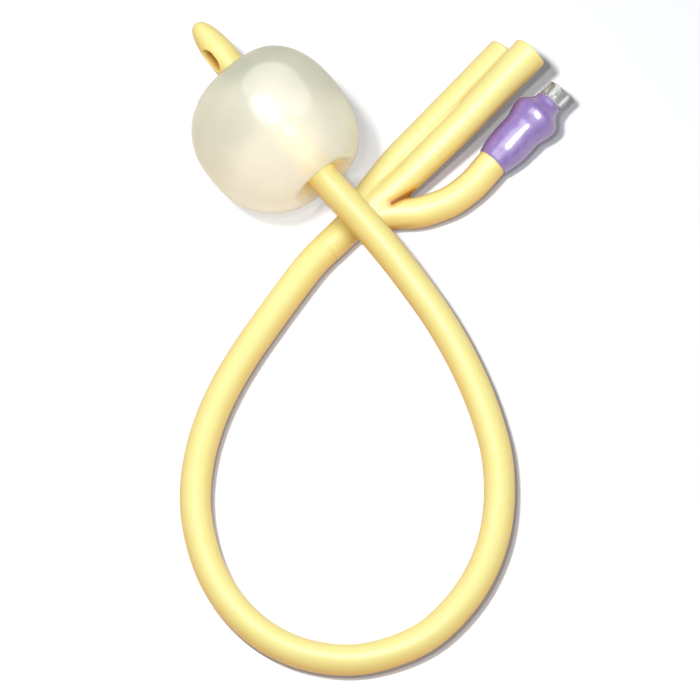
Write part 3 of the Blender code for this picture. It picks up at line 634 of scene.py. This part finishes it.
housing = {
    "end": 23.9, "rim": 3.15, "rimFoot": 20.4, "neck": 2.5, "neckFoot": 16.4,
    "mouth": 2.15, "taper": 0.03,        # the mouth narrows by this share of its depth
    "floor": 17.2, "floorHole": 1.3, "seat": 16.4, "seatBore": 2.15,
    "flange": 4.7, "flangeTop": 15.9, "foot": 14.6,
    "leadIn": 0.12, "chamfer": 0.1, "fillet": [(0.12, 0.15), (0.4, 0.0)],
    "rimCorner": [(0.2, 0.0), (0.06, 0.06), (0.0, 0.2)],
    "rimBackCorner": [(0.2, 0.0), (0.06, 0.08), (0.0, 0.25)],
    "sides": 64,
}
sleeve = {
    "edge": 4.03, "arm": 4.88, "flange": 5.82, "lip": 3.3,
    "stops": (0.0, 6.2, 10.2, 14.6, 15.25, 19.2, 20.1),      # where each width starts and ends
    "rings": (8, 4, 8, 2, 8),            # from each stop to the next
    "corner": [(0.3, 0.0), (0.1, 0.07), (0.0, 0.25)],
    "lipInside": (20.1, 17.8), "lipGap": 0.04,
    "flangeInside": (16.2, 12.6), "flangeGap": 0.05,
    "inside": [(4.05, 12.5), (4.05, 4.2), (3.67, 2.0), (3.67, 0.0)],
    "sides": 80,
    "wave": (3.2, 0.12, 3.9),            # size and height, outside this radius
}
plunger = {
    "stem": 0.95, "top": 22.0, "disc": 1.85, "discTop": 15.35, "discFoot": 14.45,
    "guide": 0.5, "guideFoot": 11.65, "edge": 0.08, "chamfer": 0.1,
    "corner": [(0.25, 0.0), (0.08, 0.08), (0.0, 0.25)],
    "sides": 48,
}
spring = {
    "foot": 9.0, "top": 13.95, "radius": 1.65, "wire": 0.2, "turns": 5, "steps": 28,
    "travel": 1.8,
}


def placeOnValve(piece, name):
    piece.location = valve["base"]
    piece.rotation_euler = (valve["pitch"] - math.pi / 2, 0.0, 0.0)
    settle(piece, name)
    smoothShade(piece, 35)


# from the end face round to the side, up is 1 where the piece goes up from that end and -1 if down
def roundedCorner(corner, radius, end, up):
    return [(radius - inwards, end + up * along) for inwards, along in corner]


def easedRings(start, end, ease, steps):
    rings = []
    for step in range(steps):
        share = step / steps
        radius = start[0] + (end[0] - start[0]) * ease(share)
        rings.append((radius, start[1] + (end[1] - start[1]) * share))
    return rings


def sleeveRings():
    edge, arm, flange, lip = sleeve["edge"], sleeve["arm"], sleeve["flange"], sleeve["lip"]
    edgeAt, armAt, armEnd, flangeAt, flangeEnd, lipAt, lipEnd = sleeve["stops"]

    def soft(share):
        return share * share * (3 - 2 * share)

    def quick(share):
        return math.sin(share * math.pi / 2)

    rings = roundedCorner(sleeve["corner"], edge, edgeAt, 1)
    ends = [rings.pop(), (arm, armAt), (arm, armEnd), (flange, flangeAt), (flange, flangeEnd),
            (lip, lipAt)]
    eases = (quick, soft, soft, soft, soft)
    for start, end, ease, steps in zip(ends, ends[1:], eases, sleeve["rings"]):
        rings += easedRings(start, end, ease, steps)
    return rings + [ends[-1]] + roundedCorner(sleeve["corner"], lip, lipEnd, -1)[::-1]


def makeSleeve():
    outer = sleeveRings()
    onNeck = housing["neck"] + sleeve["lipGap"]
    onFlange = housing["flange"] + sleeve["flangeGap"]
    inner = [(onNeck, along) for along in sleeve["lipInside"]]
    inner += [(onFlange, along) for along in sleeve["flangeInside"]]
    inner += sleeve["inside"] + [outer[0]]
    piece = turnedPiece("sizeColourSleeve", outer + inner, sleeve["sides"])
    size, height, beyond = sleeve["wave"]
    for vertex in piece.data.vertices:       # a dipped coat is never quite even
        out = Vector((vertex.co.x, vertex.co.y, 0.0))
        if out.length > beyond * mm:
            wave = noise.noise(vertex.co / (size * mm)) * height * mm
            vertex.co += out.normalized() * wave
    placeOnValve(piece, "sizeColourSleeve")
    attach(piece, "catheter")
    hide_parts("size_colour_sleeve")
    return piece


def makeHousing():
    top, rim, neck, mouth = housing["end"], housing["rim"], housing["neck"], housing["mouth"]
    foot, floor, seat = housing["rimFoot"], housing["floor"], housing["seat"]
    flange, flangeTop = housing["flange"], housing["flangeTop"]
    leadIn, chamfer = housing["leadIn"], housing["chamfer"]
    floorMouth = mouth - housing["taper"] * (top - floor)
    profile = [(mouth + leadIn, top)]
    profile += roundedCorner(housing["rimCorner"], rim, top, -1)
    profile += roundedCorner(housing["rimBackCorner"], rim, foot, 1)[::-1]
    profile += [(neck + chamfer, foot), (neck, foot - chamfer), (neck, housing["neckFoot"])]
    profile += [(neck + out, flangeTop + above) for out, above in housing["fillet"]]
    profile += [
        (flange - chamfer, flangeTop), (flange, flangeTop - chamfer), (flange, housing["foot"]),
        (housing["seatBore"], housing["foot"]), (housing["seatBore"], seat),
        (housing["floorHole"], seat), (housing["floorHole"], floor),
        (floorMouth, floor), (mouth, top - leadIn), (mouth + leadIn, top),
    ]
    piece = turnedPiece("valveHousing", profile, housing["sides"])
    placeOnValve(piece, "valveHousing")
    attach(piece, "catheter")
    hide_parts("valve_housing")
    return piece


def makePlunger():
    stem, top, disc, edge = plunger["stem"], plunger["top"], plunger["disc"], plunger["edge"]
    discTop, discFoot = plunger["discTop"], plunger["discFoot"]
    guide, guideFoot, chamfer = plunger["guide"], plunger["guideFoot"], plunger["chamfer"]
    profile = [(0.0, top)] + roundedCorner(plunger["corner"], stem, top, -1)
    profile += [
        (stem, discTop), (disc - edge, discTop), (disc, discTop - edge), (disc, discFoot + edge),
        (disc - edge, discFoot), (guide, discFoot), (guide, guideFoot + chamfer),
        (guide - chamfer, guideFoot), (0.0, guideFoot),
    ]
    piece = turnedPiece("valvePlunger", profile, plunger["sides"])
    placeOnValve(piece, "valvePlunger")
    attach(piece, "plunger")
    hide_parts("valve_plunger")
    return piece


def makeSpring():
    foot, top, radius, wire = spring["foot"], spring["top"], spring["radius"], spring["wire"]
    count = spring["turns"] * spring["steps"]
    points = []
    for step in range(count + 1):
        angle = 2 * math.pi * step / spring["steps"]
        rise = foot + (top - foot) * step / count
        points.append((radius * math.cos(angle) * mm, radius * math.sin(angle) * mm, rise * mm))
    piece = tubeToMesh(tubeAlong("valveSpring", points, wire * mm, 4))
    placeOnValve(piece, "valveSpring")
    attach(piece, "catheter")
    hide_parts("valve_spring")
    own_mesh(piece)
    return piece


sleevePiece = makeSleeve()
housingPiece = makeHousing()
plungerPiece = makePlunger()
springPiece = makeSpring()
print("valve made")


def newMaterial(name):
    material = bpy.data.materials.new(name)
    material.use_nodes = True
    tree = material.node_tree
    tree.nodes.clear()
    return material, tree


# one node, its settings by socket or by property, its links by socket
def addNode(tree, kind, settings=None, links=None):
    node = tree.nodes.new(kind)
    for key, value in (settings or {}).items():
        if isinstance(key, int) or key in node.inputs:
            node.inputs[key].default_value = value
        else:
            setattr(node, key, value)
    for key, source in (links or {}).items():
        tree.links.new(source, node.inputs[key])
    return node


latex = {
    "body": "#FAED96",
    "pale": "#FBF0A4",
    # painted shade colours: deep orange for faces turned down, dark brown for folds and bores
    "shadeTint": "#E8A520",
    "creaseShade": "#A0621C",
    "mottle": 9.0,                       # millimetres across
    "grain": (0.35, 0.05, 0.02),         # size, strength, depth: as coarse as it needs to show
    "roughness": 0.36,
    "gloss": 0.9,
    "glowThrough": 0.35,
    "scatter": (1.0, 0.6, 0.25),         # millimetres, red goes furthest
}


# natural latex, dipped or extruded, then siliconised: warm and waxy, with a satin shine
def siliconisedLatex():
    material, tree = newMaterial("siliconised latex")
    place = addNode(tree, "ShaderNodeTexCoord").outputs["Object"]
    mottle = addNode(tree, "ShaderNodeTexNoise", {
        "Scale": 1 / (latex["mottle"] * mm), "Detail": 2.0,
    }, {"Vector": place})
    tint = addNode(tree, "ShaderNodeMix", {
        "data_type": "RGBA", 6: toLinear(latex["body"]), 7: toLinear(latex["pale"]),
    }, {0: mottle.outputs["Fac"]})
    # painted shade from the attribute: towards deep orange, and dark brown where it is strongest,
    # in folds and bores
    paintedShade = addNode(tree, "ShaderNodeAttribute", {"attribute_name": "paintedShade"}).outputs["Fac"]
    shadeTint = addNode(tree, "ShaderNodeMix", {"data_type": "RGBA", 7: toLinear(latex["shadeTint"])},
                    {0: paintedShade, 6: tint.outputs[2]})
    darkestShade = addNode(tree, "ShaderNodeMapRange", {
        "From Min": undersideShade["most"] + 0.01, "From Max": 1.0,
    }, {0: paintedShade})
    shade = addNode(tree, "ShaderNodeMix", {"data_type": "RGBA", 7: toLinear(latex["creaseShade"])},
                    {0: darkestShade.outputs[0], 6: shadeTint.outputs[2]})
    size, strength, depth = latex["grain"]
    grain = addNode(tree, "ShaderNodeTexNoise", {"Scale": 1 / (size * mm), "Detail": 3.0},
                    {"Vector": place})
    bump = addNode(tree, "ShaderNodeBump", {"Strength": strength, "Distance": depth * mm},
                   {"Height": grain.outputs["Fac"]})
    shader = addNode(tree, "ShaderNodeBsdfPrincipled", {
        "Roughness": latex["roughness"], "Specular IOR Level": latex["gloss"],
        "Subsurface Weight": latex["glowThrough"], "Subsurface Scale": mm,
        "Subsurface Radius": latex["scatter"],
    }, {"Base Color": shade.outputs[2], "Normal": bump.outputs["Normal"]})
    addNode(tree, "ShaderNodeOutputMaterial", None, {"Surface": shader.outputs["BSDF"]})
    return material


film = {
    "milk": "#C7CDBD",
    # painted light: the film's colour on its side towards the viewer, lighter and warmer
    "viewerSideLight": "#FBF4E6",
    "cuff": "#FCDF7C",
    "cuffReach": (4.0, 8.5),             # millimetres from the shaft's line, thick yellow to thin
    "cloud": 16.0,                       # millimetres across
    "seen": (0.86, 0.54),                # share of the film that stops the eye: nose half, rear
    "clearing": (0.5, 8.0),              # millimetres from the middle to the rear
    "lit": 0.22,                         # and that stops the lamps: milk sends most light onwards
    "blur": 0.3,
    "bend": 1.012,                       # hardly any, so the shaft inside keeps its line
    "glowThrough": 0.25,
    "roughness": 0.28,
    "gloss": 0.3,
    "wetRoughness": 0.04,
}


# latex film stretched over water: milky and glossy, the shaft inside is a warm blurred band
def balloonFilm():
    material, tree = newMaterial("stretched balloon latex")
    turn = balloonEnd.to_3x3()
    place = addNode(tree, "ShaderNodeTexCoord").outputs["Object"]
    cloud = addNode(tree, "ShaderNodeTexNoise", {
        "Scale": 1 / (film["cloud"] * mm), "Detail": 1.0,
    }, {"Vector": place})
    offset = addNode(tree, "ShaderNodeVectorMath", {
        "operation": "SUBTRACT", 1: balloonEnd.translation,
    }, {0: place}).outputs[0]
    # painted light: the film goes lighter and warmer towards the viewer's side, mixed with random
    # cloud
    paintedLightLean = addNode(tree, "ShaderNodeVectorMath", {
        "operation": "DOT_PRODUCT", 1: -away / (2 * balloon["radius"] * mm),
    }, {0: offset})
    blend = addNode(tree, "ShaderNodeMath", {"operation": "ADD"},
                    {0: paintedLightLean.outputs["Value"], 1: cloud.outputs["Fac"]})
    tint = addNode(tree, "ShaderNodeMix", {
        "data_type": "RGBA", 6: toLinear(film["milk"]), 7: toLinear(film["viewerSideLight"]),
    }, {0: blend.outputs[0]})
    aside = addNode(tree, "ShaderNodeVectorMath", {
        "operation": "CROSS_PRODUCT", 1: turn @ Vector((0, 0, 1)),
    }, {0: offset})
    fromShaft = addNode(tree, "ShaderNodeVectorMath", {"operation": "LENGTH"},
                        {0: aside.outputs[0]})
    near, far = film["cuffReach"]
    cuff = addNode(tree, "ShaderNodeMapRange", {
        "interpolation_type": "SMOOTHSTEP", "From Min": near * mm, "From Max": far * mm,
        "To Min": 1.0, "To Max": 0.0,
    }, {0: fromShaft.outputs["Value"]})
    colour = addNode(tree, "ShaderNodeMix", {"data_type": "RGBA", 7: toLinear(film["cuff"])},
                     {0: cuff.outputs[0], 6: tint.outputs[2]}).outputs[2]
    skin = addNode(tree, "ShaderNodeBsdfPrincipled", {
        "Roughness": film["roughness"], "IOR": 1.5, "Specular IOR Level": film["gloss"],
        "Coat Weight": 1.0, "Coat Roughness": film["wetRoughness"], "Coat IOR": 1.5,
    }, {"Base Color": colour})
    glow = addNode(tree, "ShaderNodeBsdfTranslucent", None, {"Color": colour})
    milk = addNode(tree, "ShaderNodeMixShader", {0: film["glowThrough"]},
                   {1: skin.outputs[0], 2: glow.outputs[0]})
    # what gets past the milk: the sight lines a little blurred, the lamps' light straight
    shadowRay = addNode(tree, "ShaderNodeLightPath").outputs["Is Shadow Ray"]
    haze = addNode(tree, "ShaderNodeBsdfRefraction",
                   {"Roughness": film["blur"], "IOR": film["bend"]})
    clear = addNode(tree, "ShaderNodeBsdfTransparent")
    through = addNode(tree, "ShaderNodeMixShader", None,
                      {0: shadowRay, 1: haze.outputs[0], 2: clear.outputs[0]})
    rearward = addNode(tree, "ShaderNodeVectorMath", {
        "operation": "DOT_PRODUCT", 1: turn @ Vector((0, 0, -1)),
    }, {0: offset})
    start, end = film["clearing"]
    seen = addNode(tree, "ShaderNodeMapRange", {
        "interpolation_type": "SMOOTHSTEP", "From Min": start * mm, "From Max": end * mm,
        "To Min": film["seen"][0], "To Max": film["seen"][1],
    }, {0: rearward.outputs["Value"]})
    share = addNode(tree, "ShaderNodeMix", {3: film["lit"]}, {0: shadowRay, 2: seen.outputs[0]})
    both = addNode(tree, "ShaderNodeMixShader", None,
                   {0: share.outputs[0], 1: through.outputs[0], 2: milk.outputs[0]})
    addNode(tree, "ShaderNodeOutputMaterial", None, {"Surface": both.outputs[0]})
    return material


dipped = {
    "violet": "#7F5DB8",
    "pale": "#A184CE",
    "wave": (1.9, 0.8, 0.08),            # millimetres from crest to crest, strength, depth
    "roughness": 0.48,
    "wetRoughness": 0.03,
    "ior": 1.6,
}


# soft vinyl, dipped and hung to dry: uneven skin, wet-looking gloss over a broad pale sheen
def purpleCoat():
    material, tree = newMaterial("dipped purple vinyl")
    place = addNode(tree, "ShaderNodeTexCoord")
    size, strength, depth = dipped["wave"]
    wave = addNode(tree, "ShaderNodeTexNoise", {"Scale": 1 / (size * mm), "Detail": 1.5},
                   {"Vector": place.outputs["Object"]})
    tint = addNode(tree, "ShaderNodeMix", {
        "data_type": "RGBA", 6: toLinear(dipped["violet"]), 7: toLinear(dipped["pale"]),
    }, {0: wave.outputs["Fac"]})
    bump = addNode(tree, "ShaderNodeBump", {"Strength": strength, "Distance": depth * mm},
                   {"Height": wave.outputs["Fac"]}).outputs["Normal"]
    shader = addNode(tree, "ShaderNodeBsdfPrincipled", {
        "Roughness": dipped["roughness"], "IOR": dipped["ior"], "Specular IOR Level": 1.0,
        "Coat Weight": 1.0, "Coat Roughness": dipped["wetRoughness"], "Coat IOR": dipped["ior"],
    }, {"Base Color": tint.outputs[2], "Normal": bump, "Coat Normal": bump})
    addNode(tree, "ShaderNodeOutputMaterial", None, {"Surface": shader.outputs["BSDF"]})
    return material


valveFinish = {                          # grain and streaks in millimetres: size, strength, depth
    "clear": "#EEF1EF", "clearRoughness": 0.05, "clearIor": 1.58, "clearness": 0.92,
    "acetal": "#D9DAD6", "acetalRoughness": 0.35, "acetalGlow": 0.1,
    "acetalGrain": (0.25, 0.08, 0.02),
    "nitrile": "#1C1C1E", "nitrileRoughness": 0.55, "nitrileGrain": (0.15, 0.2, 0.02),
    "steel": "#B9B9BC", "steelRoughness": (0.2, 0.36), "steelStreak": 0.1,
}


# clear moulded plastic, faintly grey through its thickness
def clearPolycarbonate():
    material, tree = newMaterial("moulded clear polycarbonate")
    shader = addNode(tree, "ShaderNodeBsdfPrincipled", {
        "Base Color": toLinear(valveFinish["clear"]), "Roughness": valveFinish["clearRoughness"],
        "IOR": valveFinish["clearIor"], "Transmission Weight": valveFinish["clearness"],
    })
    addNode(tree, "ShaderNodeOutputMaterial", None, {"Surface": shader.outputs["BSDF"]})
    return material


# moulded acetal, even and faintly waxy
def whiteAcetal():
    material, tree = newMaterial("moulded white acetal")
    place = addNode(tree, "ShaderNodeTexCoord")
    size, strength, depth = valveFinish["acetalGrain"]
    grain = addNode(tree, "ShaderNodeTexNoise", {"Scale": 1 / (size * mm), "Detail": 2.0},
                    {"Vector": place.outputs["Object"]})
    bump = addNode(tree, "ShaderNodeBump", {"Strength": strength, "Distance": depth * mm},
                   {"Height": grain.outputs["Fac"]})
    shader = addNode(tree, "ShaderNodeBsdfPrincipled", {
        "Base Color": toLinear(valveFinish["acetal"]), "Roughness": valveFinish["acetalRoughness"],
        "Subsurface Weight": valveFinish["acetalGlow"], "Subsurface Scale": mm,
    }, {"Normal": bump.outputs["Normal"]})
    addNode(tree, "ShaderNodeOutputMaterial", None, {"Surface": shader.outputs["BSDF"]})
    return material


# moulded nitrile, dark and matt
def sealRubber():
    material, tree = newMaterial("moulded black nitrile")
    place = addNode(tree, "ShaderNodeTexCoord")
    size, strength, depth = valveFinish["nitrileGrain"]
    grain = addNode(tree, "ShaderNodeTexNoise", {"Scale": 1 / (size * mm), "Detail": 2.0},
                    {"Vector": place.outputs["Object"]})
    bump = addNode(tree, "ShaderNodeBump", {"Strength": strength, "Distance": depth * mm},
                   {"Height": grain.outputs["Fac"]})
    shader = addNode(tree, "ShaderNodeBsdfPrincipled", {
        "Base Color": toLinear(valveFinish["nitrile"]),
        "Roughness": valveFinish["nitrileRoughness"],
    }, {"Normal": bump.outputs["Normal"]})
    addNode(tree, "ShaderNodeOutputMaterial", None, {"Surface": shader.outputs["BSDF"]})
    return material


# drawn stainless wire, bright with fine streaks
def springSteel():
    material, tree = newMaterial("drawn spring steel")
    place = addNode(tree, "ShaderNodeTexCoord")
    streak = addNode(tree, "ShaderNodeTexNoise", {
        "Scale": 1 / (valveFinish["steelStreak"] * mm), "Detail": 2.0,
    }, {"Vector": place.outputs["Object"]})
    smooth, rough = valveFinish["steelRoughness"]
    roughness = addNode(tree, "ShaderNodeMapRange", {"To Min": smooth, "To Max": rough},
                        {0: streak.outputs["Fac"]})
    shader = addNode(tree, "ShaderNodeBsdfPrincipled", {
        "Base Color": toLinear(valveFinish["steel"]), "Metallic": 1.0,
    }, {"Roughness": roughness.outputs[0]})
    addNode(tree, "ShaderNodeOutputMaterial", None, {"Surface": shader.outputs["BSDF"]})
    return material


def dress(piece, material):
    piece.data.materials.clear()
    piece.data.materials.append(material)


latexMaterial = siliconisedLatex()
for piece in (shaftPiece, headPiece, tipPiece):
    dress(piece, latexMaterial)
dress(balloonPiece, balloonFilm())
dress(sleevePiece, purpleCoat())
dress(housingPiece, clearPolycarbonate())
acetal = whiteAcetal()
dress(plungerPiece, acetal)
dress(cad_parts["valve_spigot"], acetal)
dress(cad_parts["valve_seal"], sealRubber())
dress(springPiece, springSteel())
print("materials made")


studio = {
    "floorWhite": 0.6,
    "floorBounce": (0.56, 0.513, 0.413, 1.0),    # what the floor gives back to the object
    "glow": (0.16, 0.17, 0.19, 1.0),
    "floorSize": 4.0,
    "floorHeight": -0.02,                # millimetres, clear of what rests on it
    "ambient": 0.08,
    "mirrored": 0.25,                    # how much of the white room shows in the gloss
    "distance": 0.9,
    # slopes to the right and away per unit of height, size, watts, what it lights, and how
    "lights": {
        "floorKey": ((-0.27, -0.12), 0.11, 9.7, "floor", "diffuse"),
        "floorFront": ((-0.11, -0.30), 0.07, 2.55, "floor", "diffuse"),
        "overhead": ((-0.08, -0.12), 2.0, 7.2, "object", "diffuse"),
        "frontFill": ((0.9, -0.6), 1.5, 3.1, "object", "diffuse"),
        "backFill": ((-0.8, 0.5), 1.5, 3.9, "object", "diffuse"),
        "left": ((-0.21, 0.17), 0.5, 1.6, "object", "both"),
        "front": ((0.27, -0.25), 0.3, 1.2, "object", "both"),
        "headFill": ((1.1, -0.2), 1.2, 1.0, "head", "diffuse"),
        "headSheen": ((0.1, 0.2), 0.35, 1.9, "head", "gloss"),
        "sheen": ((0.02, -0.06), 0.3, 1.8, "latex", "gloss"),
        "stripe": ((0.30, -0.10), 0.45, 8.0, "sleeve", "gloss"),
        "window": ((0.07, 0.89), 1.3, 12.0, "balloon", "gloss"),
        "glint": ((-0.21, 0.17), 0.45, 8.0, "balloon", "gloss"),
    },
}


# 1 where the eye meets it straight or through something clear, less in a gloss
def seenDirectly(tree):
    path = addNode(tree, "ShaderNodeLightPath")
    faint = addNode(tree, "ShaderNodeMath", {"operation": "MULTIPLY", 1: studio["mirrored"]},
                    {0: path.outputs["Is Glossy Ray"]})
    either = addNode(tree, "ShaderNodeMath", {"operation": "MAXIMUM"},
                     {0: path.outputs["Is Camera Ray"], 1: faint.outputs[0]})
    return addNode(tree, "ShaderNodeMath", {"operation": "MAXIMUM"},
                   {0: either.outputs[0], 1: path.outputs["Is Transmission Ray"]}).outputs[0]


def makeStudio():
    deselectAll()
    aimX, aimY, _ = view["aim"]
    bpy.ops.mesh.primitive_plane_add(size=studio["floorSize"],
                                     location=(aimX, aimY, studio["floorHeight"] * mm))
    floor = bpy.context.object
    floor.name = "floor"
    material, tree = newMaterial("white paper sweep")
    shade = addNode(tree, "ShaderNodeMix", {
        "data_type": "RGBA", 6: studio["floorBounce"], 7: (studio["floorWhite"],) * 3 + (1.0,),
    }, {0: seenDirectly(tree)})
    white = addNode(tree, "ShaderNodeBsdfDiffuse", None, {"Color": shade.outputs[2]})
    glow = addNode(tree, "ShaderNodeEmission", {"Color": studio["glow"]},
                   {"Strength": seenDirectly(tree)})
    both = addNode(tree, "ShaderNodeAddShader", None, {0: white.outputs[0], 1: glow.outputs[0]})
    addNode(tree, "ShaderNodeOutputMaterial", None, {"Surface": both.outputs[0]})
    dress(floor, material)

    world = bpy.data.worlds.new("studio")
    bpy.context.scene.world = world
    world.use_nodes = True
    tree = world.node_tree
    tree.nodes.clear()
    mix = addNode(tree, "ShaderNodeMix", {2: studio["ambient"], 3: 1.0}, {0: seenDirectly(tree)})
    sky = addNode(tree, "ShaderNodeBackground", None, {"Strength": mix.outputs[0]})
    addNode(tree, "ShaderNodeOutputWorld", None, {"Surface": sky.outputs[0]})

    everything = [piece for piece in bpy.context.scene.objects if piece.type == "MESH"]
    lit = {
        "floor": [floor],
        "object": [piece for piece in everything if piece is not floor],
        "latex": [shaftPiece, headPiece, tipPiece],
        "head": [headPiece],
        "sleeve": [sleevePiece],
        "balloon": [balloonPiece],
    }
    groups = {}
    for name, members in lit.items():
        groups[name] = bpy.data.collections.new("lit " + name)
        for member in members:
            groups[name].objects.link(member)
    for name, (slope, size, watts, lights, how) in studio["lights"].items():
        direction = (right * slope[0] + away * slope[1] + Vector((0, 0, 1))).normalized()
        place = Vector(view["aim"]) + direction * studio["distance"]
        bpy.ops.object.light_add(type="AREA", location=place)
        lamp = bpy.context.object
        lamp.name = name
        lamp.rotation_euler = direction.to_track_quat("Z", "Y").to_euler()
        lamp.data.shape = "DISK"
        lamp.data.size = size
        lamp.data.energy = watts
        lamp.visible_diffuse = how != "gloss"
        lamp.visible_glossy = how != "diffuse"
        lamp.visible_camera = False
        lamp.light_linking.receiver_collection = groups[lights]


makeStudio()
bpy.context.scene.view_settings.view_transform = "Standard"
print("studio made")
